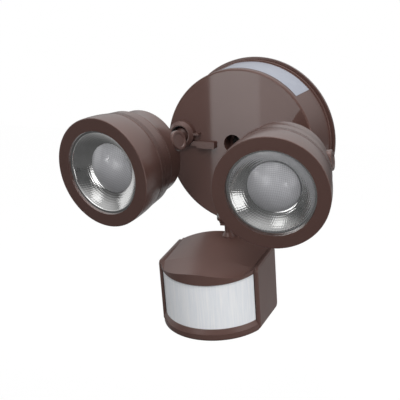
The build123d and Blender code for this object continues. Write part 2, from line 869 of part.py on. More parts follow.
# two small dials under the shell
for word, hand in (("time", -1), ("range", 1)):
    dial_plan = Plane(
        origin=head_plan.from_local_coords((hand * dial_spacing / 2, dial_y, -dial_low)),
        x_dir=sensor_right,
        z_dir=-sensor_up,
    )
    dial_gap = turn_gap + dial_r * (shell_back_low - shell_front_low) / shell_depth
    with BuildPart() as dial:
        with BuildSketch(dial_plan.offset(dial_gap)):
            Circle(dial_r)
            with PolarLocations(dial_r, dial_teeth):
                Circle(dial_r * 0.12, mode=Mode.SUBTRACT)
        extrude(amount=dial_t)
        with BuildSketch(dial_plan.offset(-shell_floor)):
            Circle(dial_stem_r)
        extrude(amount=shell_floor + dial_gap)
        with BuildSketch(dial_plan.offset(dial_gap + dial_t / 2)):
            Rectangle(dial_slot_w, 1.4 * dial_r)
        extrude(amount=dial_t, mode=Mode.SUBTRACT)
    save(dial, f"{word}_dial")

# fork on the roof for the arm's eye
hinge_local = head_plan.to_local_coords(Vector(*sensor_hinge_at))
roof_part = (hinge_local.Y + hood_nose) / (shell_depth + hood_nose)
roof_h = roof_front_h + (roof_back_h - roof_front_h) * roof_part
fork_frame = Plane(
    origin=head_plan.from_local_coords((hinge_local.X, hinge_local.Y, 0)), x_dir=sensor_right, z_dir=sensor_up
)
fork_side = Plane(origin=sensor_hinge_at, x_dir=sensor_back, z_dir=sensor_right)
fork_w = sensor_tongue_t + 2 * slot_gap + 2 * fork_t
with BuildPart() as sensor_fork:
    with BuildSketch(axial(fork_frame)):
        with BuildLine():
            Polyline(
                (0, roof_h - roof_t),
                (post_foot_r, roof_h - roof_t),
                (post_foot_r, roof_h + 0.6),
                (post_r, roof_h + post_foot_h),
                (post_r, hinge_local.Z - sensor_eye_r),
                (0, hinge_local.Z - sensor_eye_r),
                close=True,
            )
        make_face()
    revolve(axis=spin(fork_frame))
    add(sensor_hood.part, mode=Mode.SUBTRACT)
    add(roof_space.part, mode=Mode.SUBTRACT)
    with BuildSketch(fork_side.offset(-fork_w / 2)):
        Circle(sensor_eye_r)
        with Locations((0, -sensor_eye_r / 2 - 0.7)):
            Rectangle(2 * post_r, sensor_eye_r + 1.4)
    extrude(amount=fork_w)
    with BuildSketch(fork_side.offset(-sensor_tongue_t / 2 - slot_gap)):
        Circle(sensor_eye_r + slot_gap)
    extrude(amount=sensor_tongue_t + 2 * slot_gap, mode=Mode.SUBTRACT)
    with BuildSketch(fork_side.offset(-fork_w / 2)):
        Circle(sensor_pin_r)
    extrude(amount=fork_w, mode=Mode.SUBTRACT)
save(sensor_fork, "sensor_fork")

with BuildPart() as sensor_pin:
    with BuildSketch(fork_side.offset(-fork_w / 2)):
        Circle(sensor_pin_r)
    extrude(amount=fork_w)
    with BuildSketch(fork_side.offset(fork_w / 2)):
        RegularPolygon(sensor_pin_r * 1.9, 6)
    extrude(amount=sensor_pin_r)
    with BuildSketch(fork_side.offset(-fork_w / 2 - sensor_pin_r)):
        Circle(sensor_pin_r * 1.9)
    extrude(amount=sensor_pin_r)
save(sensor_pin, "sensor_pin")

sensor_reach = (Vector(*sensor_hinge_at) - Vector(*sensor_ball)).length
sensor_aim = Vector(*sensor_hinge_at) - Vector(*sensor_ball)
arm_side = (sensor_right - sensor_aim * (sensor_right.dot(sensor_aim) / sensor_aim.length**2)).normalized()
sensor_arm_frame = Plane(origin=sensor_ball, x_dir=arm_side, z_dir=sensor_aim)
ball_arm(
    sensor_arm_frame,
    "ball_arm_sensor",
    sensor_reach,
    sensor_tongue_t,
    sensor_eye_r,
    sensor_pin_r + run_fit,
    sensor_stem_r,
)
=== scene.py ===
import json
from math import cos, pi, radians, sin, sqrt

import bmesh
import bpy
import numpy as np
from mathutils import Matrix
from bpy.props import (
    BoolProperty,
    FloatProperty,
    FloatVectorProperty,
    IntProperty,
    PointerProperty,
)

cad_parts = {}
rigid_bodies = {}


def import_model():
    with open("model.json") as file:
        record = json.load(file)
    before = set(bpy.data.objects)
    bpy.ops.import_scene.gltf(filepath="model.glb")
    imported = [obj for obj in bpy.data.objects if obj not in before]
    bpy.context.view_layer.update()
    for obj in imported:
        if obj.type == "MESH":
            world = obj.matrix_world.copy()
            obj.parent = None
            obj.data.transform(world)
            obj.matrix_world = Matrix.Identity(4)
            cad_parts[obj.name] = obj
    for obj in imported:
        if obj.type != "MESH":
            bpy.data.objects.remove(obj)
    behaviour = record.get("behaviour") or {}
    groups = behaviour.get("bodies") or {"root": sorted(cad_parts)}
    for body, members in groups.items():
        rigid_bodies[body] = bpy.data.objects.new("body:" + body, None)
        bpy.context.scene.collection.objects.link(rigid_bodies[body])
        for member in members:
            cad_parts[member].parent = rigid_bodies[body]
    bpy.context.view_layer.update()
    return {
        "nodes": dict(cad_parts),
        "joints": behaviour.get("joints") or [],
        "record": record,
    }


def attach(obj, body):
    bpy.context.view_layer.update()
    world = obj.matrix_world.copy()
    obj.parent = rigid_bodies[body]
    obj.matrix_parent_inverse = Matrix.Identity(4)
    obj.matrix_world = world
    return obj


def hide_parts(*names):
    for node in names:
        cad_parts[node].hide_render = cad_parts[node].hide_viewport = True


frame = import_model()

bl_info = {
    "name": "Twin Head Security Light",
    "version": (1, 0, 0),
    "blender": (4, 5, 0),
    "location": "3D View > Sidebar > Security Light",
    "description": "Optics, sensor lens, finishes and stage for a motion sensor security light",
    "category": "Object",
}

SIDES = ("left", "right")
MERGE_GAP = 2e-7            # points nearer than this become one
SLIVER = 1e-8               # edges shorter than this are dissolved
DARKER, LIGHTER = 0.88, 1.12  # mottling of a painted or moulded colour
FACET_STEPS = 6             # mesh steps across a facet
FACET_SHIFT = 0.4           # share of a facet by which each row is turned
DOME_PRISMS = 15            # prisms across the dome's net
DOME_STEPS = 160            # mesh steps round the dome


# ============================ shader kit ======================================
def linear(red, green, blue, alpha=1.0):
    """Linear colour of an sRGB colour given as 0 to 255."""
    c = np.array([red, green, blue]) / 255.0
    c = np.where(c <= 0.04045, c / 12.92, ((c + 0.055) / 1.055) ** 2.4)
    return (*c.tolist(), alpha)


class Value:
    """One shader socket.  Python's operators on it add Math nodes to its tree."""

    def __init__(self, finish, socket):
        self.finish = finish
        self.socket = socket

    def math(self, operation, *others, swap=False):
        terms = [self, *others][::-1] if swap else [self, *others]
        return self.finish.node("ShaderNodeMath", {"operation": operation}, dict(enumerate(terms)))

    def __add__(self, other):
        return self.math("ADD", other)

    def __radd__(self, other):
        return self.math("ADD", other, swap=True)

    def __sub__(self, other):
        return self.math("SUBTRACT", other)

    def __rsub__(self, other):
        return self.math("SUBTRACT", other, swap=True)

    def __mul__(self, other):
        return self.math("MULTIPLY", other)

    def __rmul__(self, other):
        return self.math("MULTIPLY", other, swap=True)

    def __pow__(self, other):
        return self.math("POWER", other)

    def also(self, output):
        """Another output of the node that this value comes from."""
        return Value(self.finish, self.socket.node.outputs[output])

    def wave(self):
        return self.math("SINE")

    def band(self, low, high):
        """0 below low, 1 above high, smooth between them."""
        return self.finish.node(
            "ShaderNodeMapRange",
            {"interpolation_type": "SMOOTHSTEP"},
            {"Value": self, "From Min": low, "From Max": high},
        )


class Finish:
    """A material with one Principled shader, or a world, and one method that adds any node."""

    def __init__(self, name, world=None, **constants):
        self.material = world or bpy.data.materials.new(name)
        self.material.use_nodes = True
        self.tree = self.material.node_tree
        self.tree.nodes.clear()
        if world:
            self.output = self.tree.nodes.new("ShaderNodeOutputWorld")
            return
        self.output = self.tree.nodes.new("ShaderNodeOutputMaterial")
        self.shader = self.tree.nodes.new("ShaderNodeBsdfPrincipled")
        self.tree.links.new(self.shader.outputs[0], self.output.inputs["Surface"])
        for key, value in constants.items():
            self.shader.inputs[key.replace("_", " ")].default_value = value

    def feed(self, socket, value):
        if isinstance(value, Value):
            self.tree.links.new(value.socket, socket)
        else:
            socket.default_value = value

    def node(self, kind, settings=None, inputs=None, out=0):
        made = self.tree.nodes.new(kind)
        for key, value in (settings or {}).items():
            setattr(made, key, value)
        for key, value in (inputs or {}).items():
            self.feed(made.inputs[key], value)
        return Value(self, made.outputs[out])

    def place(self, scale=(1.0, 1.0, 1.0), which="Object"):
        """Coordinates on the piece, stretched by scale."""
        where = self.node("ShaderNodeTexCoord", out=which)
        return self.node("ShaderNodeMapping", None, {"Vector": where, "Scale": scale})

    def noise(self, scale, detail=2.0, rough=0.5, stretch=(1.0, 1.0, 1.0), which="Object"):
        """Noise from 0 to 1 with `scale` blotches to the metre, or to the whole of a UV map."""
        where = self.place(stretch, which)
        inputs = {"Vector": where, "Scale": scale, "Detail": detail, "Roughness": rough}
        return self.node("ShaderNodeTexNoise", None, inputs)

    def blend(self, factor, first, second):
        return self.node(
            "ShaderNodeMix", {"data_type": "RGBA"}, {0: factor, 6: first, 7: second}, out=2
        )

    def bump(self, height, depth, strength=1.0):
        """Relief: height from 0 to 1 stands for depth metres."""
        inputs = {"Height": height, "Distance": depth, "Strength": strength}
        self.wear("Normal", self.node("ShaderNodeBump", None, inputs))

    def wear(self, socket, value):
        self.feed(self.shader.inputs[socket], value)

    def mottled(self, factor, colour):
        """The colour, drifting between a darker and a lighter tone of itself."""
        base = vector(colour[:3])
        tones = ((*(base * DARKER), 1), (*(base * LIGHTER), 1))
        self.wear("Base Color", self.blend(factor, *tones))


# ============================ surface kit =====================================
def vector(values):
    return np.array(values, float)


def unit(values):
    return vector(values) / np.linalg.norm(values)


def heading(azimuth, elevation):
    """Unit vector (sin a cos e, -cos a cos e, sin e) towards azimuth a and elevation e."""
    level = cos(elevation)
    return vector((sin(azimuth) * level, -cos(azimuth) * level, sin(elevation)))


def local_axes(way, roll=0.0):
    """Columns x, y, z: z along way, x level and turned by roll about z."""
    z = unit(way)
    level = unit(np.cross((0, 0, 1), z))
    over = np.cross(z, level)
    x = level * cos(roll) + over * sin(roll)
    return np.stack([x, np.cross(z, x), z], axis=1)


def surface(name, points, uv=None, smooth=32.0):
    """Closed mesh from a grid points[i, j]: each cell is one quad, then points that meet at
    seams and poles are merged and the normals are turned outwards."""
    rows, columns = points.shape[:2]
    index = np.arange(rows * columns).reshape(rows, columns)
    cell = (index[:-1, :-1], index[1:, :-1], index[1:, 1:], index[:-1, 1:])
    quads = np.stack(cell, axis=-1).reshape(-1, 4)
    mesh = bpy.data.meshes.new(name)
    mesh.vertices.add(rows * columns)
    mesh.vertices.foreach_set("co", points.reshape(-1).astype(np.float32))
    mesh.loops.add(quads.size)
    mesh.loops.foreach_set("vertex_index", quads.reshape(-1).astype(np.int32))
    mesh.polygons.add(len(quads))
    mesh.polygons.foreach_set("loop_start", np.arange(0, quads.size, 4, dtype=np.int32))
    mesh.update(calc_edges=True)
    if uv is not None:
        layer = mesh.uv_layers.new(name="UVMap")
        at_corners = uv.reshape(-1, 2)[quads.reshape(-1)]
        layer.uv.foreach_set("vector", at_corners.reshape(-1).astype(np.float32))
    work = bmesh.new()
    work.from_mesh(mesh)
    bmesh.ops.remove_doubles(work, verts=work.verts, dist=MERGE_GAP)
    bmesh.ops.dissolve_degenerate(work, edges=work.edges, dist=SLIVER)
    bmesh.ops.recalc_face_normals(work, faces=work.faces)
    work.to_mesh(mesh)
    work.free()
    mesh.polygons.foreach_set("use_smooth", np.ones(len(mesh.polygons), bool))
    mesh.set_sharp_from_angle(angle=radians(smooth))
    mesh.update()
    piece = bpy.data.objects.new(name, mesh)
    bpy.context.scene.collection.objects.link(piece)
    return piece


def turned(outline, axes, origin, around=256, twist=None):
    """Points of a closed outline (radius, height) carried round the z of axes: a point at
    angle a is origin + radius cos(a) x + radius sin(a) y + height z.  twist(radius, height,
    angle) may move radius and height."""
    loop = np.vstack([outline, outline[:1]])
    angle = np.linspace(0, 2 * pi, around + 1)[None, :]
    radius = np.repeat(loop[:, :1], around + 1, axis=1)
    height = np.repeat(loop[:, 1:2], around + 1, axis=1)
    if twist is not None:
        radius, height = twist(radius, height, angle)
    local = np.stack([radius * np.cos(angle), radius * np.sin(angle), height], axis=-1)
    return origin + local @ axes.T


def sensor_axes(sizes):
    """Columns right, back and up of the turned and nodding sensor."""
    turn, nod = sizes.turn, sizes.nod
    right = vector((cos(turn), sin(turn), 0))
    back = vector((-sin(turn) * cos(nod), cos(turn) * cos(nod), sin(nod)))
    return np.stack([right, back, np.cross(right, back)], axis=1)


def both(*names):
    """The left and the right node of each name."""
    return [f"{name}_{side}" for name in names for side in SIDES]


def hold(piece, material, body, slot, *nodes):
    """Give a piece its finish, the body it moves with, and the nodes it stands for."""
    piece.data.materials.clear()
    piece.data.materials.append(material)
    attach(piece, body)
    if nodes:
        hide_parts(*nodes)
    return piece


def coat(material, *names):
    """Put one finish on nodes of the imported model."""
    for name in names:
        for slot in frame["nodes"][name].material_slots:
            slot.material = material


# ============================ finishes ========================================
def bronze_enamel(name, gloss, face=None):
    """Bronze enamel on castings: a rough metallic base under a clear coat of roughness gloss,
    with faint mottling and specks.  Nearer the wall than face, the coat is thin."""
    sizes = bpy.context.scene.light_finish
    paint = Finish(name, Coat_Roughness=gloss, Metallic=0.3)
    mottle = paint.noise(22, detail=3)
    speck = paint.noise(5200, detail=1)
    paint.mottled(mottle * 0.7 + speck * 0.3, sizes.enamel)
    paint.wear("Roughness", sizes.enamel_roughness - 0.04 + paint.noise(60, detail=3) * 0.08)
    coat_weight = 0.75 + mottle * 0.15
    if face:
        where = paint.node("ShaderNodeTexCoord", out="Object")
        depth = paint.node("ShaderNodeSeparateXYZ", None, {0: where}, out=1) * -1
        coat_weight = coat_weight * (depth.band(face - 0.0012, face - 0.0002) * 0.6 + 0.4)
    paint.wear("Coat Weight", coat_weight)
    paint.bump(speck, depth=0.00001, strength=0.3)
    return paint.material


def bronze_moulding():
    """Moulded bronze plastic of the sensor: spark-eroded grain, slightly duller than enamel."""
    sizes = bpy.context.scene.light_finish
    paint = Finish("bronze_moulding", Metallic=0.1, Coat_Weight=0.35, Coat_Roughness=0.3)
    grain = paint.noise(2600)
    mottle = paint.noise(30)
    paint.mottled(mottle * 0.7 + grain * 0.3, sizes.moulding)
    paint.wear("Roughness", sizes.moulding_roughness - 0.04 + mottle * 0.08)
    paint.bump(grain, depth=0.00005, strength=0.4)
    return paint.material


def mirror_metal():
    """Metal-coated reflector: bright, with faint polishing haze."""
    paint = Finish("mirror_metal", Metallic=1.0)
    haze = paint.noise(140, detail=3)
    paint.wear("Base Color", paint.blend(haze, linear(222, 222, 220), linear(246, 246, 246)))
    paint.wear("Roughness", 0.06 + haze * 0.08)
    return paint.material


def clear_glass():
    """Flat front glass: a thin clear sheet that mirrors a little."""
    sizes = bpy.context.scene.light_finish
    tint = (0.95, 0.97, 0.98, 1)
    paint = Finish("clear_glass", Metallic=1.0, Base_Color=tint, Alpha=sizes.glass_mirror)
    paint.wear("Roughness", 0.01 + paint.noise(30) * 0.03)
    paint.material.surface_render_method = "BLENDED"
    return paint.material


def frosted_dome():
    """Frosted polycarbonate dome, pressed inside with a slanting net of tiny prisms: the
    product of sin(x + y) and sin(x - y)."""
    paint = Finish("frosted_dome", Coat_Weight=0.9, Coat_Roughness=0.26, Coat_IOR=1.9)
    turns = 2 * pi * DOME_PRISMS
    net = paint.node("ShaderNodeTexCoord", out="UV")
    split = paint.node("ShaderNodeSeparateXYZ", None, {0: net})
    across = split * turns
    along = split.also(1) * turns
    prism = (across + along).wave() * (across - along).wave() * 0.5 + 0.5
    paint.wear("Base Color", paint.blend(prism, linear(158, 158, 163), linear(204, 204, 208)))
    paint.wear("Roughness", 0.36 + paint.noise(400) * 0.1)
    paint.bump(prism, depth=0.0001, strength=0.4)
    return paint.material


def milky_polyethylene():
    """Thin milky sheet of the motion lens, with upright ribs that show as faint streaks."""
    paint = Finish(
        "milky_polyethylene", Subsurface_Weight=0.3, Subsurface_Scale=0.003, Coat_Weight=0.15,
        Subsurface_Radius=(0.5, 0.5, 0.5),
    )
    streak = paint.noise(1.0, detail=3, rough=0.6, stretch=(46, 0.9, 1), which="UV")
    fine = paint.noise(1.0, detail=1, stretch=(170, 2, 1), which="UV")
    tone = (streak * 0.75 + fine * 0.25).band(0.3, 0.72)
    paint.wear("Base Color", paint.blend(tone, linear(232, 236, 242), linear(247, 248, 250)))
    paint.wear("Roughness", 0.3 + streak * 0.15)
    paint.bump(streak * 0.6 + fine * 0.4, depth=0.0002, strength=0.35)
    return paint.material


def plain(name, low, high, roughness, metallic=0.0, scale=300, depth=0.00004):
    """A finish that drifts between two near colours, with fine grain."""
    paint = Finish(name, Metallic=metallic)
    grain = paint.noise(scale, detail=3, rough=0.55)
    paint.wear("Base Color", paint.blend(grain, linear(*low), linear(*high)))
    paint.wear("Roughness", roughness - 0.06 + paint.noise(scale * 0.4) * 0.12)
    paint.bump(grain, depth, strength=0.4)
    return paint.material


def circuit_green():
    """Green solder mask with fine copper tracks showing as paler lines."""
    paint = Finish("circuit_green", Coat_Weight=0.4)
    inputs = {"Vector": paint.place((420, 420, 420)), "Scale": 1.0, "Mortar Size": 0.06}
    track = paint.node("ShaderNodeTexBrick", None, inputs, out=1)
    paint.wear("Base Color", paint.blend(track, linear(20, 74, 44), linear(58, 118, 76)))
    paint.wear("Roughness", 0.35 + track * 0.1)
    return paint.material


# ============================ settings ========================================
class HeadSizes(bpy.types.PropertyGroup):
    """Sizes of the lamp heads' optics, and where each head points."""

    left_front: FloatVectorProperty(
        name="Left front", description="Centre of the left bezel's face", subtype="XYZ",
        unit="LENGTH", default=(-0.0831, -0.1714, -0.0049),
    )
    left_roll: FloatProperty(
        name="Left roll", description="Roll of the left head about its own axis", subtype="ANGLE",
        default=radians(20.0),
    )
    right_front: FloatVectorProperty(
        name="Right front", description="Centre of the right bezel's face", subtype="XYZ",
        unit="LENGTH", default=(0.0771, -0.1714, -0.0116),
    )
    right_roll: FloatProperty(
        name="Right roll", description="Roll of the right head about its own axis", subtype="ANGLE",
        default=radians(6.4),
    )
    rim_radius: FloatProperty(
        name="Bowl rim", description="Radius of the reflector bowl at its rim", subtype="DISTANCE",
        default=0.0368,
    )
    seat_radius: FloatProperty(
        name="Rim seat", description="Radius of the flat rim under the glass", subtype="DISTANCE",
        default=0.03875,
    )
    neck_radius: FloatProperty(
        name="Bowl neck", description="Radius of the bowl round the dome", subtype="DISTANCE",
        default=0.0232,
    )
    rim_sink: FloatProperty(
        name="Rim sink", description="Depth of the flat rim behind the bezel's face",
        subtype="DISTANCE", default=0.0029,
    )
    bowl_depth: FloatProperty(
        name="Bowl depth", description="Depth of the bowl's neck behind the bezel's face",
        subtype="DISTANCE", default=0.015,
    )
    bowl_sag: FloatProperty(
        name="Bowl sag", description="How far the bowl's line bows behind its chord",
        subtype="DISTANCE", default=0.0013,
    )
    bowl_wall: FloatProperty(
        name="Bowl wall", description="Thickness of the bowl", subtype="DISTANCE", default=0.001,
    )
    facet_columns: IntProperty(
        name="Facets round", description="Facets round the bowl", default=96, min=8,
    )
    facet_rows: IntProperty(
        name="Facet rows", description="Rows of facets down the bowl", default=8, min=1,
    )
    facet_depth: FloatProperty(
        name="Facet depth", description="How far each facet is pillowed", subtype="DISTANCE",
        default=0.00008,
    )
    dome_radius: FloatProperty(
        name="Dome radius", description="Radius of the frosted dome", subtype="DISTANCE",
        default=0.0229,
    )
    dome_rise: FloatProperty(
        name="Dome rise", description="Height of the dome above its skirt", subtype="DISTANCE",
        default=0.0085,
    )
    dome_sink: FloatProperty(
        name="Dome sink", description="Depth of the dome's rim behind the bezel's face",
        subtype="DISTANCE", default=0.0142,
    )
    dome_skirt: FloatProperty(
        name="Dome skirt", description="Length of the dome's skirt", subtype="DISTANCE",
        default=0.005,
    )
    dome_wall: FloatProperty(
        name="Dome wall", description="Thickness of the dome", subtype="DISTANCE", default=0.0016,
    )


class SensorSizes(bpy.types.PropertyGroup):
    """Sizes of the motion sensor's lens, and where the sensor points."""

    corner: FloatVectorProperty(
        name="Sensor place", description="Front edge of the cheeks' tops, on the centre line",
        subtype="XYZ", unit="LENGTH", default=(0.00067, -0.13394, -0.09567),
    )
    turn: FloatProperty(
        name="Turn", description="Turn of the sensor about the upright axis", subtype="ANGLE",
        default=radians(3.6),
    )
    nod: FloatProperty(
        name="Nod", description="Downward nod of the sensor", subtype="ANGLE", default=radians(6.6),
    )
    lens_radius: FloatProperty(
        name="Lens radius", description="Radius of the lens's curve", subtype="DISTANCE",
        default=0.0481,
    )
    lens_half: FloatProperty(
        name="Lens half width", description="Half the lens's chord", subtype="DISTANCE",
        default=0.044,
    )
    lens_top: FloatProperty(
        name="Lens top", description="Depth of the lens's top edge", subtype="DISTANCE",
        default=0.0039,
    )
    lip_rise: FloatProperty(
        name="Lip rise", description="Rise of the lens's top edge towards the back",
        subtype="ANGLE", default=radians(5.6),
    )
    hood_nose: FloatProperty(
        name="Hood nose", description="Reach of the hood in front of the cheeks",
        subtype="DISTANCE", default=0.02997,
    )
    lens_low: FloatProperty(
        name="Lens bottom", description="Depth of the lens's bottom edge", subtype="DISTANCE",
        default=0.0475,
    )
    lens_wall: FloatProperty(
        name="Lens wall", description="Thickness of the lens", subtype="DISTANCE", default=0.0012,
    )
    depth: FloatProperty(
        name="Depth", description="Depth of the sensor's shell", subtype="DISTANCE", default=0.0554,
    )
    arch_half: FloatProperty(
        name="Arch half width", description="Half width of the arch under the roof's back edge",
        subtype="DISTANCE", default=0.0414,
    )
    arch_foot: FloatProperty(
        name="Arch foot", description="Height of the arch's feet above the shell's rim",
        subtype="DISTANCE", default=0.0012,
    )
    arch_crown: FloatProperty(
        name="Arch crown", description="Height of the arch's crown above the shell's rim",
        subtype="DISTANCE", default=0.0117,
    )
    lens_ribs: IntProperty(
        name="Lens ribs", description="Upright ribs inside the lens", default=34, min=1,
    )
    rib_depth: FloatProperty(
        name="Rib depth", description="Depth of the ribs inside the lens", subtype="DISTANCE",
        default=0.0003,
    )


class CanopySizes(bpy.types.PropertyGroup):
    """Sizes of the canopy's side and of the bare foil patch on it."""

    front_radius: FloatProperty(
        name="Front radius", description="Canopy radius at its front", subtype="DISTANCE",
        default=0.075,
    )
    back_radius: FloatProperty(
        name="Back radius", description="Canopy radius at its lip", subtype="DISTANCE",
        default=0.0772,
    )
    front_depth: FloatProperty(
        name="Depth", description="Wall to the canopy's face", subtype="DISTANCE", default=0.0509,
    )
    lip_depth: FloatProperty(
        name="Lip depth", description="Wall to the front of the canopy's lip", subtype="DISTANCE",
        default=0.0079,
    )
    patch_start: FloatProperty(
        name="Patch start", description="Angle of the patch's first end", subtype="ANGLE",
        default=radians(42.0),
    )
    patch_end: FloatProperty(
        name="Patch end", description="Angle of the patch's second end", subtype="ANGLE",
        default=radians(104.0),
    )
    patch_near: FloatProperty(
        name="Patch front", description="Distance of the patch's front edge from the wall",
        subtype="DISTANCE", default=0.0448,
    )
    patch_far: FloatProperty(
        name="Patch back", description="Distance of the patch's back edge from the wall",
        subtype="DISTANCE", default=0.0112,
    )
    patch_thick: FloatProperty(
        name="Patch thickness", description="Thickness of the foil", subtype="DISTANCE",
        default=0.00015,
    )


class FinishSettings(bpy.types.PropertyGroup):
    """Colours and gloss."""

    enamel: FloatVectorProperty(
        name="Enamel", description="Colour of the painted castings", subtype="COLOR", size=4,
        default=linear(92, 66, 60),
    )
    enamel_roughness: FloatProperty(
        name="Enamel roughness", description="Roughness of the painted castings", default=0.4,
        min=0, max=1,
    )
    moulding: FloatVectorProperty(
        name="Moulding", description="Colour of the sensor's plastic", subtype="COLOR", size=4,
        default=linear(92, 67, 61),
    )
    moulding_roughness: FloatProperty(
        name="Moulding roughness", description="Roughness of the sensor's plastic", default=0.46,
        min=0, max=1,
    )
    glass_mirror: FloatProperty(
        name="Glass mirror", description="Share of light that the front glass mirrors",
        default=0.07, min=0, max=1,
    )


class StageSettings(bpy.types.PropertyGroup):
    """Camera, lamps and floor."""

    azimuth: FloatProperty(
        name="Azimuth", description="Camera's angle about the upright axis", subtype="ANGLE",
        default=radians(24.7),
    )
    elevation: FloatProperty(
        name="Elevation", description="Camera's angle above the level", subtype="ANGLE",
        default=radians(14.35),
    )
    roll: FloatProperty(
        name="Roll", description="Camera's roll", subtype="ANGLE", default=radians(-1.68),
    )
    distance: FloatProperty(
        name="Distance", description="Camera's distance from its target", subtype="DISTANCE",
        default=1.0715,
    )
    target: FloatVectorProperty(
        name="Target", description="Point in the middle of the view", subtype="XYZ", unit="LENGTH",
        default=(-0.06599, 0.0, -0.07),
    )
    focal: FloatProperty(
        name="Focal length", description="Camera's focal length in millimetres", default=92.29,
    )
    floor_level: FloatProperty(
        name="Floor level", description="Height of the floor", subtype="DISTANCE", default=-0.42,
    )
    room_low: FloatProperty(
        name="Room below", description="Diffuse light from below", default=0.5,
    )
    room_high: FloatProperty(
        name="Room above", description="Diffuse light from above", default=0.48,
    )
    front_light: FloatProperty(
        name="Front", description="Mirrored light of the dark front", default=0.09,
    )
    sky_light: FloatProperty(
        name="Sky", description="Mirrored light from high up", default=0.5,
    )
    back_light: FloatProperty(
        name="Back", description="Mirrored light of the background", default=0.5,
    )
    back_start: FloatProperty(
        name="Back start", description="Where the mirrored background begins, behind the object",
        default=0.05,
    )
    key_power: FloatProperty(
        name="Key", description="Power of the key lamp", default=13.0, unit="POWER",
    )
    side_power: FloatProperty(
        name="Side", description="Power of the side lamp", default=7.0, unit="POWER",
    )
    top_power: FloatProperty(
        name="Top", description="Power of the top lamp", default=8.0, unit="POWER",
    )
    show_floor: BoolProperty(name="Floor", description="Add the pale floor", default=True)


# ============================ pieces ==========================================
class LIGHT_OT_finishes(bpy.types.Operator):
    """Put the finishes on the castings, fasteners, boards and joints"""

    bl_idname = "security_light.finishes"
    bl_label = "Finishes"

    def execute(self, context):
        face = context.scene.light_canopy.front_depth
        enamel = bronze_enamel("satin_enamel", gloss=0.22)
        polished = bronze_enamel("polished_enamel", gloss=0.04, face=face)
        moulding = bronze_moulding()
        coat(polished, "canopy_cover")
        coat(enamel, "mounting_plate", *both("bezel", "heat_sink", "rear_cap"))
        coat(enamel, *both("ball_arm", "lock_collar", "hinge_tip_left", "hinge_tip_right"))
        coat(enamel, "ball_arm_sensor", "lock_collar_sensor", "sensor_fork")
        coat(moulding, "sensor_shell", "sensor_hood", "sensor_base")
        # name, darker and lighter colour, roughness, metallic, grain to the metre, nodes
        for name, low, high, roughness, metallic, scale, nodes in (
            ("black_rubber", (20, 20, 20), (34, 34, 33), 0.8, 0, 500, ["canopy_gasket"]),
            ("pin_steel", (120, 120, 118), (156, 156, 152), 0.35, 0.95, 240,
             ["sensor_pin", *both("hinge_pin")]),
            ("blackened_screw", (34, 32, 31), (52, 49, 46), 0.6, 0.5, 300, ["fixing_screw"]),
            ("black_nylon", (26, 22, 20), (40, 34, 31), 0.5, 0, 700,
             ["ball_bush_sensor", *both("ball_bush")]),
            ("black_dial", (22, 22, 22), (36, 36, 35), 0.55, 0, 900, ["time_dial", "range_dial"]),
            ("white_board", (214, 214, 206), (236, 236, 230), 0.4, 0, 200, both("led_board")),
            ("driver_case", (206, 206, 200), (222, 222, 216), 0.6, 0, 800, ["driver_box"]),
            ("sensor_can", (176, 174, 166), (204, 202, 194), 0.3, 0.9, 500, ["pyro_element"]),
        ):
            coat(plain(name, low, high, roughness, metallic, scale), *nodes)
        coat(circuit_green(), "sensor_board")
        coat(clear_glass(), *both("lens_glass"))
        return {"FINISHED"}


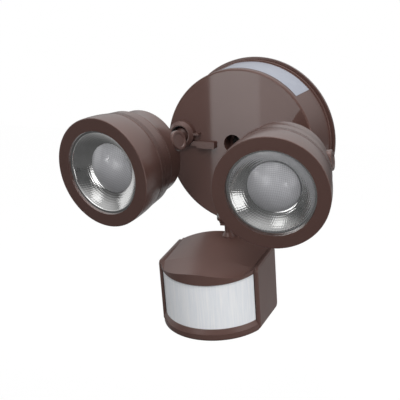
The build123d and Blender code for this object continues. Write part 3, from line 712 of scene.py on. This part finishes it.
class LIGHT_OT_optics(bpy.types.Operator):
    """Make each head's faceted bowl and frosted dome"""

    bl_idname = "security_light.optics"
    bl_label = "Optics"

    def bowl(self, sizes):
        """Bowl outline: a chord from the neck to the rim, bowed by 4 t (1 - t) times the sag,
        then a flat rim, and the same line one wall thickness lower on the way back."""
        start = vector((sizes.neck_radius, -sizes.bowl_depth))
        end = vector((sizes.rim_radius, -sizes.rim_sink - sizes.bowl_wall))
        t = np.linspace(0, 1, sizes.facet_rows * FACET_STEPS + 1)[:, None]
        normal = vector((end[1] - start[1], start[0] - end[0])) / np.linalg.norm(end - start)
        inner = start * (1 - t) + end * t + normal * (sizes.bowl_sag * 4 * t * (1 - t))
        outer = inner[::-1] + vector((sizes.bowl_wall * 0.6, -sizes.bowl_wall))
        seat = sizes.seat_radius
        rim = [
            (sizes.rim_radius, -sizes.rim_sink),
            (seat, -sizes.rim_sink),
            (seat, -sizes.rim_sink - sizes.bowl_wall),
        ]
        return inner, np.vstack([inner, rim, outer])

    def execute(self, context):
        sizes = context.scene.light_heads
        metal = mirror_metal()
        frost = frosted_dome()
        domes = bpy.data.collections.new("domes")
        for side in SIDES:
            front = vector(getattr(sizes, f"{side}_front"))
            joint = next(j for j in frame["joints"] if j["name"] == f"pan_{side}")
            axes = local_axes(front - vector(joint["pos_m"]), getattr(sizes, f"{side}_roll"))
            inner, outline = self.bowl(sizes)
            rows = len(inner)
            step = np.zeros(len(outline) + 1)
            step[:rows] = np.linspace(0, sizes.facet_rows, rows)

            def facets(radius, height, angle):
                """Each facet is a pillow: its depth is (1 - a^2)(1 - b^2), where a and b
                run from -1 to 1 across it, and the columns lean by FACET_SHIFT each row."""
                down = np.repeat(step[:, None], angle.shape[1], axis=1)
                around = angle / (2 * pi) * sizes.facet_columns + down * FACET_SHIFT
                a = 2 * (around % 1.0) - 1
                b = 2 * (down % 1.0) - 1
                lift = sizes.facet_depth * (1 - a**2) * (1 - b**2)
                lift[rows:] = 0
                lift[0] = lift[rows - 1] = lift[-1] = 0
                return radius + lift * 0.5, height - lift * 0.85

            points = turned(outline, axes, front, sizes.facet_columns * FACET_STEPS, facets)
            bowl = surface(f"reflector_bowl_{side}", points)
            hold(bowl, metal, f"head_{side}", "reflector_metal", f"reflector_{side}")

            r = sizes.dome_radius
            ball = (r**2 + sizes.dome_rise**2) / (2 * sizes.dome_rise)
            top = sizes.dome_rise - sizes.dome_sink
            out = np.linspace(0, r, 60)
            cap = np.stack([out, top - ball + np.sqrt(ball**2 - out**2)], axis=1)
            inside = r - sizes.dome_wall
            back = np.linspace(inside, 0, 30)
            hollow = np.stack(
                [back, top - ball + np.sqrt((ball - sizes.dome_wall) ** 2 - back**2)], axis=1
            )
            low = -sizes.dome_sink - sizes.dome_skirt
            profile = np.vstack([cap, [(r, low), (inside, low)], hollow])
            points = turned(profile, axes, front, DOME_STEPS)
            flat = (points - front) @ axes[:, :2] / (2 * r) + 0.5
            dome = surface(f"frosted_dome_{side}", points, flat)
            hold(dome, frost, f"head_{side}", "milky_dome", f"diffuser_dome_{side}")
            bowl.visible_glossy = dome.visible_glossy = side == "right"
            domes.objects.link(dome)
        # the small sheets light the domes alone
        for thing in context.scene.objects:
            if thing.name.startswith("spot_card"):
                thing.light_linking.receiver_collection = domes
        return {"FINISHED"}


class LIGHT_OT_motion_lens(bpy.types.Operator):
    """Make the milky motion lens with its inner ribs"""

    bl_idname = "security_light.motion_lens"
    bl_label = "Motion lens"

    def execute(self, context):
        """The wall is an arc about an upright axis, and its inner radius grows by the rib
        depth times |sin| of the angle, one hump for each rib."""
        sizes = context.scene.light_sensor
        axes = sensor_axes(sizes)
        middle = sqrt(sizes.lens_radius**2 - sizes.lens_half**2)
        reach = np.arcsin(sizes.lens_half / sizes.lens_radius)
        outer_angle = np.linspace(-reach, reach, 181)
        inner_angle = np.linspace(reach, -reach, 541)   # finer, for the ribs
        ribs = np.abs(np.sin(inner_angle / reach * pi * sizes.lens_ribs / 2))
        inner_r = sizes.lens_radius - sizes.lens_wall + sizes.rib_depth * ribs
        angle = np.concatenate([outer_angle, inner_angle, outer_angle[:1]])
        outer_r = np.full_like(outer_angle, sizes.lens_radius)
        radius = np.concatenate([outer_r, inner_r, outer_r[:1]])
        level = np.concatenate([[0.0], np.linspace(0, 1, 24), [1.0]])
        # the first and last rows are drawn in to the wall's middle line, which closes the ends
        spread = np.ones_like(level)
        spread[[0, -1]] = 0.0
        core = sizes.lens_radius - sizes.lens_wall / 2
        ring = core + (radius - core)[None, :] * spread[:, None]
        swing = np.repeat(angle[None, :], len(level), axis=0)
        # the top edge rises with the distance behind the hood's nose
        y = middle - ring * np.cos(swing)
        top = (y + sizes.hood_nose) * np.tan(sizes.lip_rise) - sizes.lens_top
        height = top - (sizes.lens_low + top) * level[:, None]
        local = np.stack([ring * np.sin(swing), y, height], axis=-1)
        rise = np.repeat(1 - level[:, None], len(angle), axis=1)
        uv = np.stack([swing / reach * 0.5 + 0.5, rise], axis=-1)
        lens = surface("milky_lens", vector(sizes.corner) + local @ axes.T, uv)
        hold(lens, milky_polyethylene(), "sensor", "milky_lens", "motion_lens")
        return {"FINISHED"}


class LIGHT_OT_roof_back(bpy.types.Operator):
    """Close the back of the sensor's roof with a thin arched wall"""

    bl_idname = "security_light.roof_back"
    bl_label = "Roof back"

    def execute(self, context):
        """The wall's top is an arc of radius R = (a^2 + h^2) / 2h through two feet and a crown,
        where a is its half width and h its rise."""
        sizes = context.scene.light_sensor
        half, rise = sizes.arch_half, sizes.arch_crown - sizes.arch_foot
        ball = (half**2 + rise**2) / (2 * rise)
        x = np.linspace(-half, half, 61)
        top = sizes.arch_crown - ball + np.sqrt(ball**2 - x**2)
        tuck, reach = 0.0002, 0.0028    # the wall's back face and front face from the shell's back
        low, front, back = -tuck, sizes.depth - reach, sizes.depth - tuck
        loop = [(front, 0), (back, 0), (back, 1), (front, 1), (front, 0)]
        y = np.array([[place for place, _ in loop]] * len(x)).T
        z = np.array([[share] * len(x) for _, share in loop]) * (top - low) + low
        local = np.stack([np.repeat(x[None, :], len(loop), axis=0), y, z], axis=-1)
        # the end columns shrink to a point, which closes the ends
        points = [local[:, i].mean(axis=0) for i in (0, -1)]
        ends = [np.repeat(point[None, None, :], len(loop), axis=0) for point in points]
        local = np.concatenate([ends[0], local, ends[1]], axis=1)
        wall = surface("roof_back", vector(sizes.corner) + local @ sensor_axes(sizes).T)
        hold(wall, bpy.data.materials["bronze_moulding"], "sensor", "bronze_plastic")
        return {"FINISHED"}


class LIGHT_OT_foil_patch(bpy.types.Operator):
    """Lay a bare foil patch on the canopy's side"""

    bl_idname = "security_light.foil_patch"
    bl_label = "Foil patch"

    def execute(self, context):
        """Columns run round the canopy's cone, whose radius grows evenly from its front to
        its lip.  Rows run across the patch and are lifted by its thickness."""
        sizes = context.scene.light_canopy
        columns, rows, gap = 60, 12, 0.00003    # gap: the foil's inner face to the enamel
        angle = np.linspace(sizes.patch_end, sizes.patch_start, columns)
        # across the patch: front edge, outer face, back edge, inner face, and closed again
        share = np.concatenate([[0.0], np.linspace(0, 1, rows), [1.0], [0.0]])
        lift = np.concatenate([[0.0], np.ones(rows), [0.0], [0.0]])
        depth = sizes.patch_near + (sizes.patch_far - sizes.patch_near) * share
        slope = (sizes.back_radius - sizes.front_radius) / (sizes.front_depth - sizes.lip_depth)
        radius = sizes.front_radius + slope * (sizes.front_depth - depth) + gap
        outer = (radius + sizes.patch_thick * lift)[:, None]
        y = np.repeat(-depth[:, None], columns, axis=1)
        local = np.stack([outer * np.cos(angle), y, outer * np.sin(angle)], axis=-1)
        # the end columns collapse onto the foil's middle line, which closes the ends
        mid = local[:, [0, -1]].copy()
        flat_r = radius[:, None] + sizes.patch_thick / 2
        ends = angle[[0, -1]]
        mid[..., 0] = flat_r * np.cos(ends)
        mid[..., 2] = flat_r * np.sin(ends)
        local = np.concatenate([mid[:, :1], local, mid[:, 1:]], axis=1)
        patch = surface("foil_patch", local, smooth=50)
        tones = ((168, 173, 187), (186, 190, 202))
        foil = plain("bare_foil", *tones, roughness=0.3, metallic=0.5, scale=120, depth=0.00003)
        hold(patch, foil, "canopy", "reflector_metal")
        return {"FINISHED"}


# ============================ stage ===========================================
class LIGHT_OT_stage(bpy.types.Operator):
    """Set the camera, the lamps, the white surround and the pale floor"""

    bl_idname = "security_light.stage"
    bl_label = "Stage"

    def aim(self, thing, place, target, roll=0.0):
        """Put a camera or lamp at place, looking down its own -z at target."""
        back = unit(vector(place) - vector(target))
        right = unit(np.cross((0, 0, 1), back))
        up = np.cross(back, right)
        x = right * cos(roll) + up * sin(roll)
        y = np.cross(back, x)
        matrix = np.eye(4)
        matrix[:3, 0], matrix[:3, 1], matrix[:3, 2], matrix[:3, 3] = x, y, back, place
        thing.matrix_world = Matrix(matrix.tolist())

    def lamp(self, name, azimuth, elevation, distance, size, power):
        """Rectangular area lamp, turned to the object from an angle given in degrees."""
        middle = vector((0, -0.1, -0.04))
        data = bpy.data.lights.new(name, "AREA")
        data.shape = "RECTANGLE"
        data.size, data.size_y = size
        data.energy = power
        thing = bpy.data.objects.new(name, data)
        thing.visible_glossy = False
        bpy.context.scene.collection.objects.link(thing)
        way = heading(radians(azimuth), radians(elevation))
        self.aim(thing, middle + way * distance, middle)

    def card(self, name, corner, across, up, bright):
        """Soft box: a glowing sheet from a corner along two sides, unseen by the camera.  It
        dims towards its lower end as 1 - (1 - v)^3, where v runs up the sheet."""
        u, v = np.meshgrid(np.linspace(0, 1, 9), np.linspace(0, 1, 9), indexing="ij")
        points = vector(corner) + u[..., None] * vector(across) + v[..., None] * vector(up)
        sheet = surface(name, points, np.stack([u, v], axis=-1))
        glow = Finish(name)
        uv = glow.node("ShaderNodeTexCoord", out="UV")
        rise = glow.node("ShaderNodeSeparateXYZ", None, {0: uv}, out=1)
        strength = (1 - (1 - rise) ** 3) * bright
        lit = glow.node("ShaderNodeEmission", None, {"Color": (1, 1, 1, 1), "Strength": strength})
        glow.tree.links.new(lit.socket, glow.output.inputs["Surface"])
        sheet.data.materials.append(glow.material)
        sheet.visible_camera = sheet.visible_diffuse = False
        sheet.visible_shadow = False

    def surround(self, scene, sizes):
        """World: white where the camera sees it.  Diffuse light comes from a room that brightens
        upwards; mirrored light from a dim front and the white background behind the object."""
        world = bpy.data.worlds.new("surround")
        scene.world = world
        room = Finish("surround", world)
        where = room.node("ShaderNodeTexCoord", out="Object")
        depth = room.node("ShaderNodeSeparateXYZ", None, {0: where}, out=1)
        rise = depth.also(2)
        soft = rise.band(-0.6, 0.8) * (sizes.room_high - sizes.room_low) + sizes.room_low
        behind = depth.band(sizes.back_start, sizes.back_start + 0.5) * rise.band(-0.15, 0.3)
        sky = rise.band(0.2, 0.9) * sizes.sky_light
        mirrored = behind * sizes.back_light + sky + sizes.front_light
        camera_ray = room.node("ShaderNodeLightPath", out="Is Camera Ray")
        glossy_ray = camera_ray.also("Is Glossy Ray")
        light = soft * (1 - glossy_ray) + mirrored * glossy_ray
        strength = light * (1 - camera_ray) + camera_ray
        inputs = {"Color": (1, 1, 1, 1), "Strength": strength}
        glow = room.node("ShaderNodeBackground", None, inputs)
        room.tree.links.new(glow.socket, room.output.inputs["Surface"])

    def execute(self, context):
        scene = context.scene
        sizes = scene.light_stage
        scene.view_settings.view_transform = "Standard"

        data = bpy.data.cameras.new("camera")
        data.lens = sizes.focal
        data.sensor_width = 36.0
        data.clip_start = 0.01
        data.clip_end = 50.0
        camera = bpy.data.objects.new("camera", data)
        scene.collection.objects.link(camera)
        back = heading(sizes.azimuth, sizes.elevation)
        target = vector(sizes.target)
        self.aim(camera, target + back * sizes.distance, target, sizes.roll)
        scene.camera = camera

        # name, azimuth and elevation in degrees, distance, width and height, power
        self.lamp("key_softbox", 12, 38, 1.7, (0.45, 0.75), sizes.key_power)
        self.lamp("side_softbox", 70, 4, 1.5, (0.6, 0.9), sizes.side_power)
        self.lamp("top_softbox", 10, 74, 1.5, (0.9, 0.9), sizes.top_power)
        # name, corner, side across, side up, brightness: the first two show as a lighter band
        # on the canopy's face, the others in the bowls and along the castings' edges
        self.card("edge_card", (-0.623, -1.389, -0.48), (0.126, 0, 0), (0, 0, 0.62), 3.4)
        self.card("front_card", (-0.497, -1.389, -0.48), (0.42, 0, 0), (0, 0, 0.62), 2.2)
        self.card("key_card", (-0.50, -1.25, 0.28), (0.52, 0, 0), (0, 0.3, 0.9), 1.25)
        self.card("side_card", (1.35, -1.1, -3.0), (0, 1.3, 0), (0, 0, 3.3), 1.4)
        self.card("left_card", (-1.35, 0.3, -0.8), (0, -0.9, 0), (0, 0, 1.4), 0.9)
        # small sheets that show as soft spots on the domes: azimuth, elevation, brightness
        spots = ((-17, -5.5, 9), (37, -16, 9), (-41, 5, 12))
        width, height, reach = 0.17, 0.22, 1.5
        for place, (azimuth, elevation, bright) in enumerate(spots):
            az = radians(azimuth)
            across = vector((cos(az), sin(az), 0)) * width
            up = vector((0, 0, height))
            corner = heading(az, radians(elevation)) * reach - (across + up) / 2
            self.card(f"spot_card_{place}", corner, across, up, bright)
        self.card("top_card", (-0.55, -0.6, 1.25), (1.2, 0, 0), (0, 1.0, 0), 2.2)
        self.surround(scene, sizes)
        # the left head and its arm stay out of the canopy's mirrored light
        bodies = frame["record"]["behaviour"]["bodies"]
        for name in bodies["head_left"] + bodies["arm_left"] + bodies["collar_left"]:
            frame["nodes"][name].visible_glossy = False

        if sizes.show_floor:
            span = np.linspace(-2.0, 2.0, 9)
            x, y = np.meshgrid(span, span, indexing="ij")
            z = np.full_like(x, sizes.floor_level)
            floor = surface("floor", np.stack([x, y, z], axis=-1))
            pale = Finish("pale_floor", Roughness=0.8)
            where = pale.node("ShaderNodeTexCoord", out="Object")
            depth = pale.node("ShaderNodeSeparateXYZ", None, {0: where}, out=1).band(-0.3, 0.5)
            tone = depth * 0.92 + pale.noise(8) * 0.08
            # dark in front, so that the bowls mirror a dark floor, and pale behind
            pale.wear("Base Color", pale.blend(tone, (0.05, 0.05, 0.05, 1), (0.5, 0.5, 0.5, 1)))
            floor.data.materials.append(pale.material)
            # the camera sees the floor as white, and the other 0.15 keeps the shadow
            white = {"Color": (1, 1, 1, 1), "Strength": 1.12}
            glow = pale.node("ShaderNodeEmission", None, white)
            seen = pale.node("ShaderNodeLightPath", out="Is Camera Ray") * 0.85
            mixed = pale.node("ShaderNodeMixShader", None, {0: seen})
            pale.tree.links.new(pale.shader.outputs[0], mixed.socket.node.inputs[1])
            pale.tree.links.new(glow.socket, mixed.socket.node.inputs[2])
            pale.tree.links.new(mixed.socket, pale.output.inputs["Surface"])
        return {"FINISHED"}


class LIGHT_PT_panel(bpy.types.Panel):
    """Buttons for each group of pieces"""

    bl_label = "Security Light"
    bl_space_type = "VIEW_3D"
    bl_region_type = "UI"
    bl_category = "Security Light"

    def draw(self, context):
        for operator in OPERATORS:
            self.layout.operator(operator.bl_idname)
        for name in SETTINGS:
            group = getattr(context.scene, name)
            box = self.layout.box()
            for prop in group.__annotations__:
                box.prop(group, prop)


SETTINGS = {
    "light_heads": HeadSizes,
    "light_sensor": SensorSizes,
    "light_canopy": CanopySizes,
    "light_finish": FinishSettings,
    "light_stage": StageSettings,
}
OPERATORS = (
    LIGHT_OT_stage,
    LIGHT_OT_finishes,
    LIGHT_OT_optics,
    LIGHT_OT_motion_lens,
    LIGHT_OT_roof_back,
    LIGHT_OT_foil_patch,
)


def register():
    for group in SETTINGS.values():
        bpy.utils.register_class(group)
    for operator in OPERATORS:
        bpy.utils.register_class(operator)
    bpy.utils.register_class(LIGHT_PT_panel)
    for name, group in SETTINGS.items():
        setattr(bpy.types.Scene, name, PointerProperty(type=group))


def unregister():
    for name in SETTINGS:
        delattr(bpy.types.Scene, name)
    bpy.utils.unregister_class(LIGHT_PT_panel)
    for thing in (*OPERATORS, *SETTINGS.values()):
        bpy.utils.unregister_class(thing)


def main():
    register()
    for scene_object in list(bpy.context.scene.objects):
        if scene_object.type in ("CAMERA", "LIGHT"):
            bpy.data.objects.remove(scene_object)
    bpy.ops.security_light.stage()
    bpy.ops.security_light.finishes()
    bpy.ops.security_light.optics()
    bpy.ops.security_light.motion_lens()
    bpy.ops.security_light.roof_back()
    bpy.ops.security_light.foil_patch()


if __name__ == "__main__":
    main()
